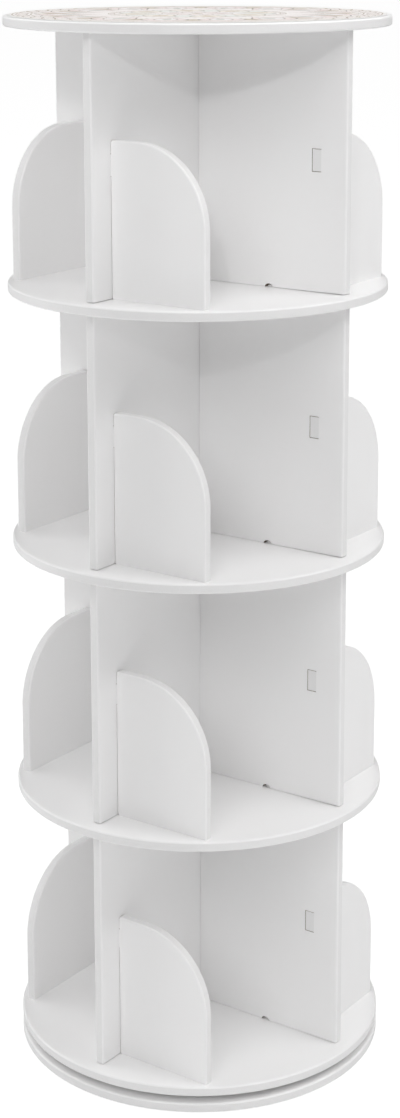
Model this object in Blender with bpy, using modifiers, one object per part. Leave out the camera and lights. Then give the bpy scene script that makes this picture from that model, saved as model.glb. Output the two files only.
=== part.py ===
"""Revolving bookcase: four open tiers of white board on a ball-bearing turntable.

Metres, +Z up. The origin is on the floor, on the axis that the shelves turn about.
Each tier is a cross of two half-lapped walls standing on a round shelf. Every arm of the cross
carries a book stop, tenoned through the arm, so each quarter is a bay that is open on one side.
"""

import math

import bmesh
import bpy
from mathutils import Matrix

# Boards, all cut from one sheet
BOARD = 0.012
ROUND_OVER = 0.0025
SHELF_RADIUS = 0.230
TIERS = 4
CLEAR_HEIGHT = 0.304

# Walls, with shouldered stub tongues that drop into the shelf below
WALL_INSET = 0.017
TONGUE_LENGTH = 0.040
TONGUE_THICKNESS = 0.008
TONGUE_DEPTH = 0.005
TONGUE_FROM_SCREW = 0.045

# Book stops
STOP_LENGTH = 0.130
STOP_HEIGHT = 0.182
STOP_CORNER = 0.095
STOP_SETBACK = 0.0345
TENON_HEIGHT = 0.028
TENON_DROP = 0.014

# Screws down through the shelves, and the notch that clears each head
SCREW_CIRCLE = 0.107
SCREW_RADIUS = 0.002
SCREW_BITE = 0.028
HEAD_RADIUS = 0.004
HEAD_HEIGHT = 0.0022
NOTCH_MARGIN = 0.002

# Turntable
TURNTABLE_HEIGHT = 0.0095
RUNNING_GAP = 0.0012
RING_WIDTH = 0.020
RACE_GAP = 0.0024
BALL_RADIUS = 0.0025
BALLS = 12
CAGE_THICKNESS = 0.001
CAGE_HEIGHT = 0.003

# Pads under the base
FEET = 6
FOOT_RADIUS = 0.011
FOOT_HEIGHT = 0.0025
FOOT_INSET = 0.035

# Printed film on the top board
FILM_MARGIN = 0.006
FILM_THICKNESS = 0.0004

# Clearance between pieces that touch, and how far a cutter reaches past a face
SEAT = 0.0003
OVERRUN = 0.001

# Facets of the round shapes
RIM_FACETS = 56
RING_FACETS = 48
FOOT_FACETS = 12
SCREW_FACETS = 8
BALL_FACETS = 8
CORNER_STEPS = 8
SMALL_STEPS = 4
ROUND_STEPS = 2
SMOOTH_ANGLE = math.radians(50)

# Points closer than this are one point
WELD = 1e-6

WALL_REACH = SHELF_RADIUS - WALL_INSET
STOP_CENTRE = WALL_REACH - STOP_SETBACK - BOARD / 2
STOP_TONGUE_CENTRE = (BOARD + STOP_LENGTH) / 2
TONGUE_CENTRE = SCREW_CIRCLE - TONGUE_FROM_SCREW
TENON_TOP = STOP_HEIGHT - TENON_DROP
TENON_BOTTOM = TENON_TOP - TENON_HEIGHT
HOLE_RADIUS = SCREW_RADIUS + SEAT
HEAD_TAPER = HEAD_RADIUS - SCREW_RADIUS

BASE_BOTTOM = FOOT_HEIGHT + SEAT
BASE_TOP = BASE_BOTTOM + BOARD
FIRST_SHELF = BASE_TOP + TURNTABLE_HEIGHT
TIER_PITCH = BOARD + CLEAR_HEIGHT
TOP_BOARD_BOTTOM = FIRST_SHELF + TIERS * TIER_PITCH

BALL_CIRCLE = SCREW_CIRCLE - (RING_WIDTH + RACE_GAP) / 2
BALL_HEIGHT = BASE_TOP + TURNTABLE_HEIGHT / 2
RING_HEIGHT = TURNTABLE_HEIGHT - SEAT - RUNNING_GAP
GROOVE_RADIUS = BALL_RADIUS + SEAT

WHITE = (0.86, 0.86, 0.86, 1.0)
QUARTERS = "abcd"


def new_collection(name):
    collection = bpy.data.collections.new(name)
    bpy.context.scene.collection.children.link(collection)
    return collection


def principled(name, colour, roughness, metallic=0.0):
    material = bpy.data.materials.new(name)
    material.use_nodes = True
    shader = material.node_tree.nodes["Principled BSDF"]
    shader.inputs["Base Color"].default_value = colour
    shader.inputs["Roughness"].default_value = roughness
    shader.inputs["Metallic"].default_value = metallic
    return material


def axis_empty(name):
    empty = bpy.data.objects.new(name, None)
    PARTS.objects.link(empty)
    return empty


def quarter_turn(quarter):
    return Matrix.Rotation(quarter * math.pi / 2, 4, "Z")


def place(name, mesh, material, owner, matrix=Matrix.Identity(4)):
    """Adds one piece that shares the mesh of its kind and hangs from its owner's axis."""
    if not mesh.materials:
        mesh.materials.append(material)
    piece = bpy.data.objects.new(name, mesh)
    PARTS.objects.link(piece)
    piece.parent = owner
    piece.matrix_local = matrix


def evaluated_shape(draft):
    """A bmesh of the draft object as its modifiers leave it, welded; the draft is removed."""
    depsgraph = bpy.context.evaluated_depsgraph_get()
    mesh = bpy.data.meshes.new_from_object(draft.evaluated_get(depsgraph))
    bpy.data.objects.remove(draft)
    shape = bmesh.new()
    shape.from_mesh(mesh)
    bpy.data.meshes.remove(mesh)
    bmesh.ops.remove_doubles(shape, verts=shape.verts, dist=WELD)
    return shape


def finished_mesh(draft):
    """The draft object's final mesh, with clean triangles and smooth rounds; the draft is removed."""
    mesh = bpy.data.meshes.new(draft.name)
    shape = evaluated_shape(draft)
    bmesh.ops.recalc_face_normals(shape, faces=shape.faces)
    bmesh.ops.triangulate(shape, faces=shape.faces, quad_method="BEAUTY", ngon_method="BEAUTY")
    shape.to_mesh(mesh)
    shape.free()
    mesh.shade_smooth()
    mesh.set_sharp_from_angle(angle=SMOOTH_ANGLE)
    return mesh


def draft_object(name, shape):
    """A draft object from a bmesh, which is freed."""
    mesh = bpy.data.meshes.new(name)
    shape.to_mesh(mesh)
    shape.free()
    draft = bpy.data.objects.new(name, mesh)
    bpy.context.scene.collection.objects.link(draft)
    return draft


def as_cutter(draft):
    bpy.context.scene.collection.objects.unlink(draft)
    CUTTERS.objects.link(draft)
    draft.hide_render = True
    draft.display_type = "WIRE"
    return draft


def boolean(draft, tool, operation="DIFFERENCE"):
    modifier = draft.modifiers.new(tool.name, "BOOLEAN")
    modifier.operation = operation
    modifier.object = tool


def add_block(shape, low, high):
    """Adds a box between two corners to a bmesh."""
    centre = Matrix.Translation([(a + b) / 2 for a, b in zip(low, high)])
    size = Matrix.Diagonal([b - a for a, b in zip(low, high)] + [1])
    bmesh.ops.create_cube(shape, size=1, matrix=centre @ size)


def add_hole(shape, x, y, low, high, low_radius, high_radius):
    """Adds a round plug along Z, straight or tapered, to a bmesh."""
    bmesh.ops.create_cone(
        shape,
        cap_ends=True,
        segments=SCREW_FACETS,
        radius1=low_radius,
        radius2=high_radius,
        depth=high - low,
        matrix=Matrix.Translation((x, y, (low + high) / 2)),
    )


def on_each_quarter(shape):
    """Repeats what a bmesh holds round the axis, once for each quarter."""
    first = shape.verts[:] + shape.edges[:] + shape.faces[:]
    for quarter in range(1, len(QUARTERS)):
        copy = bmesh.ops.duplicate(shape, geom=first)["geom"]
        verts = [item for item in copy if isinstance(item, bmesh.types.BMVert)]
        bmesh.ops.transform(shape, matrix=quarter_turn(quarter), verts=verts)


def arc(centre_x, centre_z, radius_x, radius_z, start, end, steps):
    """Points along part of an ellipse, from one angle in degrees to another."""
    angles = [math.radians(start + (end - start) * step / steps) for step in range(steps + 1)]
    return [(centre_x + radius_x * math.cos(a), centre_z + radius_z * math.sin(a)) for a in angles]


def add_tongue(shape, centre, margin, floor, ceiling):
    """Adds a stub tongue along X to a bmesh, or its socket when there is a margin round it."""
    half_length = TONGUE_LENGTH / 2 + margin
    half_width = TONGUE_THICKNESS / 2 + margin
    low = (centre - half_length, -half_width, floor)
    high = (centre + half_length, half_width, ceiling)
    add_block(shape, low, high)


def with_tongues(draft, *centres):
    """Joins tongues to the lower edge of an upright board."""
    shape = bmesh.new()
    for centre in centres:
        add_tongue(shape, centre, 0, SEAT - TONGUE_DEPTH, SEAT + OVERRUN)
    boolean(draft, as_cutter(draft_object(draft.name + "_tongues", shape)), "UNION")
    return draft


def round_board(name, radius):
    """A round board with both rims eased, its underside at z = 0."""
    bpy.ops.mesh.primitive_cylinder_add(
        vertices=RIM_FACETS, radius=radius, depth=BOARD, location=(0, 0, BOARD / 2)
    )
    draft = bpy.context.object
    draft.name = name
    draft.data.transform(draft.matrix_basis)
    draft.matrix_basis.identity()
    easing = draft.modifiers.new("eased rims", "BEVEL")
    easing.width = ROUND_OVER
    easing.segments = ROUND_STEPS
    easing.limit_method = "ANGLE"
    return draft


def upright_board(name, outline, is_eased):
    """A board cut to an outline in the XZ plane, with the edges that is_eased picks rounded over.

    The outline is drawn flat and extruded, and each side is closed with one face.
    """
    curve = bpy.data.curves.new(name, "CURVE")
    curve.dimensions = "2D"
    curve.fill_mode = "NONE"
    curve.extrude = BOARD / 2
    spline = curve.splines.new("POLY")
    spline.points.add(len(outline) - 1)
    for point, (along, up) in zip(spline.points, outline):
        point.co = (along, up, 0, 1)
    spline.use_cyclic_u = True
    drawn = bpy.data.objects.new(name, curve)
    bpy.context.scene.collection.objects.link(drawn)
    shape = evaluated_shape(drawn)
    bmesh.ops.holes_fill(shape, edges=shape.edges, sides=0)
    bmesh.ops.recalc_face_normals(shape, faces=shape.faces)
    eased = [edge for edge in shape.edges if lies_flat(edge) and is_eased(edge_middle(edge))]
    bmesh.ops.bevel(
        shape, geom=eased, offset=ROUND_OVER, segments=ROUND_STEPS, profile=0.5, affect="EDGES"
    )
    bmesh.ops.transform(shape, matrix=Matrix.Rotation(math.pi / 2, 4, "X"), verts=shape.verts)
    return draft_object(name, shape)


def edge_middle(edge):
    return (edge.verts[0].co + edge.verts[1].co) / 2


def lies_flat(edge):
    """True for an edge of a board's face, false for one that runs through its thickness."""
    return abs(edge.verts[0].co.z - edge.verts[1].co.z) < BOARD / 2


def turned(name, profile, facets, closed):
    """A shape turned about Z from (radius, height) points, listed downwards on the outer side."""
    points = [(radius, 0, height) for radius, height in profile]
    edges = [(i, i + 1) for i in range(len(points) - 1)]
    if closed:
        edges.append((len(points) - 1, 0))
    mesh = bpy.data.meshes.new(name)
    mesh.from_pydata(points, edges, [])
    draft = bpy.data.objects.new(name, mesh)
    bpy.context.scene.collection.objects.link(draft)
    spin = draft.modifiers.new("turned", "SCREW")
    spin.steps = facets
    spin.render_steps = facets
    spin.use_merge_vertices = True
    spin.merge_threshold = WELD
    return finished_mesh(draft)


def shelf_mesh():
    """A shelf with sockets for the tongues above it and holes for the screws into what is below."""
    shape = bmesh.new()
    floor = BOARD - TONGUE_DEPTH
    ceiling = BOARD + OVERRUN
    add_tongue(shape, STOP_TONGUE_CENTRE, SEAT, floor, ceiling)
    bmesh.ops.translate(shape, vec=(0, -STOP_CENTRE, 0), verts=shape.verts)
    add_tongue(shape, TONGUE_CENTRE, SEAT, floor, ceiling)
    add_hole(shape, SCREW_CIRCLE, 0, -OVERRUN, ceiling, HOLE_RADIUS, HOLE_RADIUS)
    on_each_quarter(shape)
    draft = round_board("shelf", SHELF_RADIUS)
    boolean(draft, as_cutter(draft_object("shelf_cutter", shape)))
    return finished_mesh(draft)


def top_board_mesh():
    """The top board, countersunk for the screws that the film covers."""
    shape = bmesh.new()
    taper = HEAD_TAPER + OVERRUN
    add_hole(shape, SCREW_CIRCLE, 0, -OVERRUN, BOARD, HOLE_RADIUS, HOLE_RADIUS)
    on_each_quarter(shape)
    sinks = bmesh.new()
    sink_floor = BOARD - SEAT - HEAD_TAPER
    add_hole(sinks, SCREW_CIRCLE, 0, sink_floor, sink_floor + taper, HOLE_RADIUS, HOLE_RADIUS + taper)
    on_each_quarter(sinks)
    draft = round_board("top_board", SHELF_RADIUS)
    boolean(draft, as_cutter(draft_object("top_hole_cutter", shape)))
    boolean(draft, as_cutter(draft_object("top_sink_cutter", sinks)))
    return finished_mesh(draft)


def wall_outline(lapped_from_above):
    """One wall's outline: a half lap in the middle, and a screw notch under each arm."""
    top = CLEAR_HEIGHT - SEAT
    lap = BOARD / 2 + SEAT
    notch_width = HEAD_RADIUS + NOTCH_MARGIN
    notch_height = HEAD_HEIGHT + NOTCH_MARGIN
    right = arc(SCREW_CIRCLE, SEAT, notch_width, notch_height, 180, 0, SMALL_STEPS)
    right += [(WALL_REACH, SEAT), (WALL_REACH, top)]
    if lapped_from_above:
        right += [(lap, top), (lap, (CLEAR_HEIGHT - SEAT) / 2)]
    else:
        right = [(lap, (CLEAR_HEIGHT + SEAT) / 2), (lap, SEAT)] + right
    return right + [(-along, up) for along, up in reversed(right)]


def wall_mesh(name, lapped_from_above):
    """A wall with mortises for the book stops and pilot holes for the screws of the board above."""
    draft = upright_board(
        name, wall_outline(lapped_from_above), lambda middle: abs(middle.x) > WALL_REACH - SEAT
    )
    shape = bmesh.new()
    half_width = BOARD / 2 + SEAT
    face = BOARD / 2 + OVERRUN
    pilot_floor = CLEAR_HEIGHT - SCREW_BITE - SEAT
    for arm in (STOP_CENTRE, -STOP_CENTRE):
        low = (arm - half_width, -face, TENON_BOTTOM - SEAT)
        high = (arm + half_width, face, TENON_TOP + SEAT)
        add_block(shape, low, high)
    for arm in (SCREW_CIRCLE, -SCREW_CIRCLE):
        add_hole(shape, arm, 0, pilot_floor, CLEAR_HEIGHT + OVERRUN, HOLE_RADIUS, HOLE_RADIUS)
    boolean(draft, as_cutter(draft_object(name + "_cutter", shape)))
    return finished_mesh(with_tongues(draft, TONGUE_CENTRE, -TONGUE_CENTRE))


def stop_mesh():
    """A book stop on the arm that points to -Y: rounded corner outside, tenon through the arm."""
    inner = BOARD / 2 + SEAT
    outer = BOARD / 2 + STOP_LENGTH
    corner_x = outer - STOP_CORNER
    corner_z = STOP_HEIGHT - STOP_CORNER
    outline = [(inner, SEAT), (outer, SEAT)]
    outline += arc(corner_x, corner_z, STOP_CORNER, STOP_CORNER, 0, 90, CORNER_STEPS)
    outline += [(inner, STOP_HEIGHT), (inner, TENON_TOP), (-BOARD / 2, TENON_TOP)]
    outline += [(-BOARD / 2, TENON_BOTTOM), (inner, TENON_BOTTOM)]

    def is_eased(middle):
        on_side = middle.x > outer - SEAT
        on_top = middle.y > STOP_HEIGHT - SEAT
        return on_side or on_top or (middle.x > corner_x and middle.y > corner_z)

    return finished_mesh(with_tongues(upright_board("book_stop", outline, is_eased), STOP_TONGUE_CENTRE))


def pan_screw_mesh(name, length):
    """A screw with a low domed head, whose head rests at z = 0."""
    crown = HEAD_RADIUS - SCREW_RADIUS / 2
    profile = [(0, HEAD_HEIGHT), (crown, HEAD_HEIGHT), (HEAD_RADIUS, HEAD_HEIGHT / 2), (HEAD_RADIUS, 0)]
    profile += [(SCREW_RADIUS, 0), (SCREW_RADIUS, SCREW_RADIUS - length), (0, -length)]
    return turned(name, profile, SCREW_FACETS, closed=False)


def sunk_screw_mesh(name, length):
    """A countersunk screw, whose flat head is at z = 0."""
    profile = [(0, 0), (HEAD_RADIUS, 0), (SCREW_RADIUS, -HEAD_TAPER)]
    profile += [(SCREW_RADIUS, SCREW_RADIUS - length), (0, -length)]
    return turned(name, profile, SCREW_FACETS, closed=False)


def groove(side, start, end):
    """The ball groove in a ring's wall; side is 1 for the wall outside the balls and -1 for the inside."""
    lip = math.degrees(math.acos(RACE_GAP / 2 / GROOVE_RADIUS))
    return arc(
        BALL_CIRCLE, BALL_HEIGHT, side * GROOVE_RADIUS, GROOVE_RADIUS, start * lip, end * lip, SMALL_STEPS
    )


def base_ring_mesh():
    """The turntable's inner ring, screwed to the base board, with the ball groove on its outer wall."""
    outer = BALL_CIRCLE - RACE_GAP / 2
    inner = outer - RING_WIDTH
    bottom = BASE_TOP + SEAT
    top = bottom + RING_HEIGHT
    profile = [(inner, top), (outer, top)] + groove(-1, 1, -1) + [(outer, bottom), (inner, bottom)]
    return turned("turntable_base_ring", profile, RING_FACETS, closed=True)


def top_ring_mesh():
    """The turntable's outer ring under the first shelf, drilled for the shelf's screws."""
    inner = BALL_CIRCLE + RACE_GAP / 2
    outer = inner + RING_WIDTH
    top = FIRST_SHELF - SEAT
    bottom = top - RING_HEIGHT
    profile = [(outer, top), (outer, bottom), (inner, bottom)] + groove(1, -1, 1) + [(inner, top)]
    plain = turned("turntable_top_ring", profile, RING_FACETS, closed=True)
    draft = bpy.data.objects.new("turntable_top_ring", plain)
    bpy.context.scene.collection.objects.link(draft)
    shape = bmesh.new()
    add_hole(shape, SCREW_CIRCLE, 0, bottom - OVERRUN, top + OVERRUN, HOLE_RADIUS, HOLE_RADIUS)
    on_each_quarter(shape)
    boolean(draft, as_cutter(draft_object("ring_hole_cutter", shape)))
    return finished_mesh(draft)


def ball_cage_mesh():
    """The cage ring with its captive balls."""
    inner = BALL_CIRCLE - CAGE_THICKNESS / 2
    outer = BALL_CIRCLE + CAGE_THICKNESS / 2
    top = BALL_HEIGHT + CAGE_HEIGHT / 2
    bottom = BALL_HEIGHT - CAGE_HEIGHT / 2
    profile = [(outer, top), (outer, bottom), (inner, bottom), (inner, top)]
    ring = turned("ball_cage", profile, RING_FACETS, closed=True)
    draft = bpy.data.objects.new("ball_cage", ring)
    bpy.context.scene.collection.objects.link(draft)
    shape = bmesh.new()
    for ball in range(BALLS):
        turn = Matrix.Rotation(2 * math.pi * ball / BALLS, 4, "Z")
        bmesh.ops.create_uvsphere(
            shape,
            u_segments=BALL_FACETS,
            v_segments=BALL_FACETS // 2,
            radius=BALL_RADIUS,
            matrix=turn @ Matrix.Translation((BALL_CIRCLE, 0, BALL_HEIGHT)),
        )
    boolean(draft, as_cutter(draft_object("balls", shape)), "UNION")
    return finished_mesh(draft)


def disc_mesh(name, radius, height, facets):
    """A plain round pad or film with its underside at z = 0."""
    return turned(name, [(0, height), (radius, height), (radius, 0), (0, 0)], facets, closed=False)


for old in list(bpy.data.objects):
    bpy.data.objects.remove(old)

PARTS = new_collection("revolving_bookcase")
CUTTERS = new_collection("cutters")
BASE = axis_empty("base_axis")
CAROUSEL = axis_empty("carousel_axis")
CAGE = axis_empty("cage_axis")

shelf_white = principled("shelf white", WHITE, 0.42)
wall_white = principled("wall white", WHITE, 0.45)
stop_white = principled("book stop white", WHITE, 0.45)
base_white = principled("base white", WHITE, 0.42)
film_print = principled("printed film", (0.72, 0.62, 0.52, 1.0), 0.35)
ring_metal = principled("turntable aluminium", (0.62, 0.63, 0.65, 1.0), 0.4, 1.0)
ball_steel = principled("ball cage steel", (0.5, 0.51, 0.53, 1.0), 0.25, 1.0)
screw_zinc = principled("zinc-plated screw", (0.66, 0.67, 0.68, 1.0), 0.35, 1.0)
foot_rubber = principled("rubber pad", (0.05, 0.05, 0.05, 1.0), 0.8)

# Base, standing on its pads
foot = disc_mesh("foot", FOOT_RADIUS, FOOT_HEIGHT, FOOT_FACETS)
for number in range(FEET):
    turn = Matrix.Rotation(2 * math.pi * number / FEET, 4, "Z")
    spot = turn @ Matrix.Translation((SHELF_RADIUS - FOOT_INSET, 0, 0))
    place(f"foot_{number + 1}", foot, foot_rubber, BASE, spot)
base_board = finished_mesh(round_board("base_board", SHELF_RADIUS))
place("base_board", base_board, base_white, BASE, Matrix.Translation((0, 0, BASE_BOTTOM)))

# Turntable between the base and the first shelf
place("turntable_base_ring", base_ring_mesh(), ring_metal, BASE)
place("turntable_ball_cage", ball_cage_mesh(), ball_steel, CAGE)
place("turntable_top_ring", top_ring_mesh(), ring_metal, CAROUSEL)

# Tiers, from the turntable up
shelf = shelf_mesh()
crossed_walls = {"x": wall_mesh("wall_x", True), "y": wall_mesh("wall_y", False)}
book_stop = stop_mesh()
ring_screw = pan_screw_mesh("ring_screw", BOARD + RING_HEIGHT)
shelf_screw = pan_screw_mesh("shelf_screw", BOARD + SCREW_BITE)
for tier in range(1, TIERS + 1):
    underside = FIRST_SHELF + (tier - 1) * TIER_PITCH
    floor_level = Matrix.Translation((0, 0, underside + BOARD))
    place(f"shelf_{tier}", shelf, shelf_white, CAROUSEL, Matrix.Translation((0, 0, underside)))
    for quarter, (axis, wall) in enumerate(crossed_walls.items()):
        place(f"tier_{tier}_wall_{axis}", wall, wall_white, CAROUSEL, floor_level @ quarter_turn(quarter))
    for quarter, letter in enumerate(QUARTERS):
        around = floor_level @ quarter_turn(quarter)
        on_arm = around @ Matrix.Translation((0, -STOP_CENTRE, 0))
        place(f"tier_{tier}_stop_{letter}", book_stop, stop_white, CAROUSEL, on_arm)
        screw = ring_screw if tier == 1 else shelf_screw
        head_seat = around @ Matrix.Translation((SCREW_CIRCLE, 0, SEAT))
        place(f"shelf_{tier}_screw_{letter}", screw, screw_zinc, CAROUSEL, head_seat)

# Top board, screwed down from above under its printed film
top_level = TOP_BOARD_BOTTOM + BOARD
place("top_board", top_board_mesh(), shelf_white, CAROUSEL, Matrix.Translation((0, 0, TOP_BOARD_BOTTOM)))
top_screw = sunk_screw_mesh("top_screw", BOARD + SCREW_BITE - SEAT)
for quarter, letter in enumerate(QUARTERS):
    flush = quarter_turn(quarter) @ Matrix.Translation((SCREW_CIRCLE, 0, top_level - SEAT))
    place(f"top_screw_{letter}", top_screw, screw_zinc, CAROUSEL, flush)
film = disc_mesh("top_print", SHELF_RADIUS - FILM_MARGIN, FILM_THICKNESS, RIM_FACETS)
place("top_print", film, film_print, CAROUSEL, Matrix.Translation((0, 0, top_level + SEAT)))
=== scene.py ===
import math

import bmesh
import bpy
from mathutils import Matrix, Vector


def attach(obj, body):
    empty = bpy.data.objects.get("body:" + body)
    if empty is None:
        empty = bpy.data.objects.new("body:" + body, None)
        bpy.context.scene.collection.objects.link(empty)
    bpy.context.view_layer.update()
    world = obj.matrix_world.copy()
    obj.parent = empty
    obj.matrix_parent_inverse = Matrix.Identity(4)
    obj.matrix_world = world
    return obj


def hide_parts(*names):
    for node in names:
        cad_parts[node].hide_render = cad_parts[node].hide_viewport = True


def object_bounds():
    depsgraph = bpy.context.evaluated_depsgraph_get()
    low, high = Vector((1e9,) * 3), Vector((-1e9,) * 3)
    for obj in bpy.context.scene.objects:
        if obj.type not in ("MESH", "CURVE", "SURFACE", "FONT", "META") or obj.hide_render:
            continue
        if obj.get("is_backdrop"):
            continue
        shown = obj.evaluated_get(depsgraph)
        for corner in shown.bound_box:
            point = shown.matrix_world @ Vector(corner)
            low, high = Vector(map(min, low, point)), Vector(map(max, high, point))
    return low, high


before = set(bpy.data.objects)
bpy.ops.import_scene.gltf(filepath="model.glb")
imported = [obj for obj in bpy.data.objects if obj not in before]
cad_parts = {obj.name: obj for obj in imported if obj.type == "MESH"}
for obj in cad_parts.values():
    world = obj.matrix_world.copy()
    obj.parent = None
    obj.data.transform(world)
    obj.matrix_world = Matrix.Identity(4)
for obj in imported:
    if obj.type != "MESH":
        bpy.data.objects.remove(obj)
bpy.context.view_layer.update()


# Pads

# Six soft pads that keep the base off the floor. Each is a small disc moulded in black
# rubber, with a rounded tread edge and a shallow cup in its sole, and is stuck under the base.
PADS = 6
PAD_RADIUS = 0.011
PAD_HEIGHT = 0.0025
PAD_CIRCLE = 0.195
TREAD_ROUND = 0.0008
SOLE_RIM = 0.003
SOLE_CUP = 0.0006

# How close two places count as one, how square a face is when it faces along an axis, and up to
# which angle faces are shaded as one curve
NEAR = 0.0001
FACING = 0.99
SMOOTH = math.radians(40)


def linear(code):
    """An sRGB hex colour as the linear RGBA that a socket takes."""
    parts = [int(code[i : i + 2], 16) / 255 for i in (1, 3, 5)]
    return [c / 12.92 if c <= 0.04045 else ((c + 0.055) / 1.055) ** 2.4 for c in parts] + [1.0]


def add_node(material, kind, inputs=None, **settings):
    """Adds one node: its own settings, and for each input a value or the output that feeds it."""
    node = material.node_tree.nodes.new(kind)
    for name, value in settings.items():
        setattr(node, name, value)
    for name, value in (inputs or {}).items():
        if isinstance(value, bpy.types.NodeSocket):
            material.node_tree.links.new(value, node.inputs[name])
        else:
            node.inputs[name].default_value = value
    return node


def pick(piece, kind, test):
    """Selects, on a piece in edit mode, only the faces or edges that pass a test."""
    bpy.ops.mesh.select_mode(type=kind)
    bpy.ops.mesh.select_all(action="DESELECT")
    shape = bmesh.from_edit_mesh(piece.data)
    for item in shape.faces if kind == "FACE" else shape.edges:
        item.select_set(test(item))
    shape.select_flush_mode()
    bmesh.update_edit_mesh(piece.data)


def start_from(add_primitive, **size):
    """Adds a primitive by itself, with its place in its mesh, and opens it for editing."""
    bpy.ops.object.select_all(action="DESELECT")
    add_primitive(**size)
    bpy.ops.object.transform_apply(location=True, rotation=True, scale=True)
    bpy.ops.object.mode_set(mode="EDIT")
    return bpy.context.object


def copy_of(piece, name, move):
    """A copy with a mesh of its own, moved inside that mesh."""
    copy = bpy.data.objects.new(name, piece.data.copy())
    copy.data.name = name
    copy.data.transform(move)
    bpy.context.scene.collection.objects.link(copy)
    return copy


def hand_over(piece, body, node):
    """Lets a piece ride on its body and stand for its node, whose frame piece is hidden."""
    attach(piece, body)
    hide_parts(node)


pad = start_from(
    bpy.ops.mesh.primitive_cylinder_add,
    vertices=48,
    radius=PAD_RADIUS,
    depth=PAD_HEIGHT,
    location=(PAD_CIRCLE, 0, PAD_HEIGHT / 2),
)
pick(pad, "EDGE", lambda edge: all(v.co.z < NEAR for v in edge.verts))
bpy.ops.mesh.bevel(offset=TREAD_ROUND, segments=4, profile=0.5, affect="EDGES")
pick(pad, "FACE", lambda face: face.normal.z < -FACING)
bpy.ops.mesh.inset(thickness=SOLE_RIM)
bpy.ops.mesh.inset(thickness=SOLE_CUP, depth=-SOLE_CUP)
bpy.ops.object.mode_set(mode="OBJECT")
bpy.ops.object.shade_smooth_by_angle(angle=SMOOTH)

# Moulded rubber: near black and dull, with a fine pebble of 0.6 mm from the mould and a faint bloom
# in patches of 6 mm
moulded_rubber = bpy.data.materials.new("moulded_black_rubber")
moulded_rubber.use_nodes = True
rubber_shader = moulded_rubber.node_tree.nodes["Principled BSDF"]
rubber_place = add_node(moulded_rubber, "ShaderNodeTexCoord")
rubber_bloom = add_node(
    moulded_rubber,
    "ShaderNodeTexNoise",
    {"Vector": rubber_place.outputs["Object"], "Scale": 1 / 0.006, "Detail": 3.0},
)
rubber_tone = add_node(
    moulded_rubber,
    "ShaderNodeMix",
    {0: rubber_bloom.outputs["Fac"], 6: linear("#1d1d1d"), 7: linear("#34332f")},
    data_type="RGBA",
)
rubber_pebble = add_node(
    moulded_rubber,
    "ShaderNodeTexNoise",
    {"Vector": rubber_place.outputs["Object"], "Scale": 1 / 0.0006, "Detail": 2.0},
)
rubber_bump = add_node(
    moulded_rubber,
    "ShaderNodeBump",
    {"Height": rubber_pebble.outputs["Fac"], "Strength": 0.4, "Distance": 0.0001},
)
moulded_rubber.node_tree.links.new(rubber_tone.outputs[2], rubber_shader.inputs["Base Color"])
moulded_rubber.node_tree.links.new(rubber_bump.outputs["Normal"], rubber_shader.inputs["Normal"])
rubber_shader.inputs["Roughness"].default_value = 0.8
rubber_shader.inputs["IOR"].default_value = 1.52
pad.data.materials.append(moulded_rubber)

for number in range(PADS):
    turned = Matrix.Rotation(2 * math.pi * number / PADS, 4, "Z")
    hand_over(copy_of(pad, f"pad_{number + 1}", turned), "base", f"foot_{number + 1}")
bpy.data.objects.remove(pad)


# Base board

# The round board that stays still under the turntable. It is routed from 12 mm fibreboard,
# its two rims are rounded over, and it is sprayed white all round.
BOARD = 0.012
BOARD_RADIUS = 0.230
BOARD_FACETS = 240
ROUND_OVER = 0.0025
ROUND_STEPS = 6
BROKEN_EDGE = 0.0004
SHARP = math.radians(50)

# A facet that leans this much towards the board's face is painted as its face; the rest takes the edge
# lacquer, whose darker tone is painted shade
FACE_LEAN = 0.3

# The hairline left between pieces that touch, so that each keeps its own outline
HAIRLINE = 0.0003
BASE_BOTTOM = PAD_HEIGHT + HAIRLINE


def round_board(underside):
    """A disc of board with both rims rounded over."""
    board = start_from(
        bpy.ops.mesh.primitive_cylinder_add,
        vertices=BOARD_FACETS,
        radius=BOARD_RADIUS,
        depth=BOARD,
        location=(0, 0, underside + BOARD / 2),
    )
    pick(board, "EDGE", lambda edge: abs(edge.verts[0].co.z - edge.verts[1].co.z) < BOARD / 2)
    bpy.ops.mesh.bevel(offset=ROUND_OVER, segments=ROUND_STEPS, profile=0.5, affect="EDGES")
    bpy.ops.object.mode_set(mode="OBJECT")
    return board


def finish_board(board, through, tight=lambda edge: False, shaded_cut=None):
    """Breaks what is still sharp, evens the shading and paints faces and cut edges.

    Through is the axis of the board's thickness, which tells its faces from its edges; the edges take
    a lacquer painted a shade darker, as painted shade. Tight names the edges that stay sharp; the last
    argument names the faces that were cut after the board was painted, which take a dark tan as
    painted shade in these recesses.
    """
    bpy.ops.object.select_all(action="DESELECT")
    board.select_set(True)
    bpy.context.view_layer.objects.active = board
    bpy.ops.object.mode_set(mode="EDIT")
    pick(board, "EDGE", lambda edge: edge.calc_face_angle(0) > SHARP and not tight(edge))
    bpy.ops.mesh.bevel(offset=BROKEN_EDGE, segments=2, profile=0.5, affect="EDGES", clamp_overlap=False)
    bpy.ops.object.mode_set(mode="OBJECT")
    bpy.ops.object.shade_smooth_by_angle(angle=SMOOTH)
    even = board.modifiers.new("even", "WEIGHTED_NORMAL")
    even.keep_sharp = True
    bpy.ops.object.modifier_apply(modifier=even.name)
    board.data.materials.append(face_lacquer)
    board.data.materials.append(edge_lacquer_with_painted_shade)
    for face in board.data.polygons:
        face.material_index = 0 if abs(face.normal[through]) > FACE_LEAN else 1
    if shaded_cut:
        board.data.materials.append(recess_shade_fibreboard)
        for face in filter(shaded_cut, board.data.polygons):
            face.material_index = 2


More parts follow.
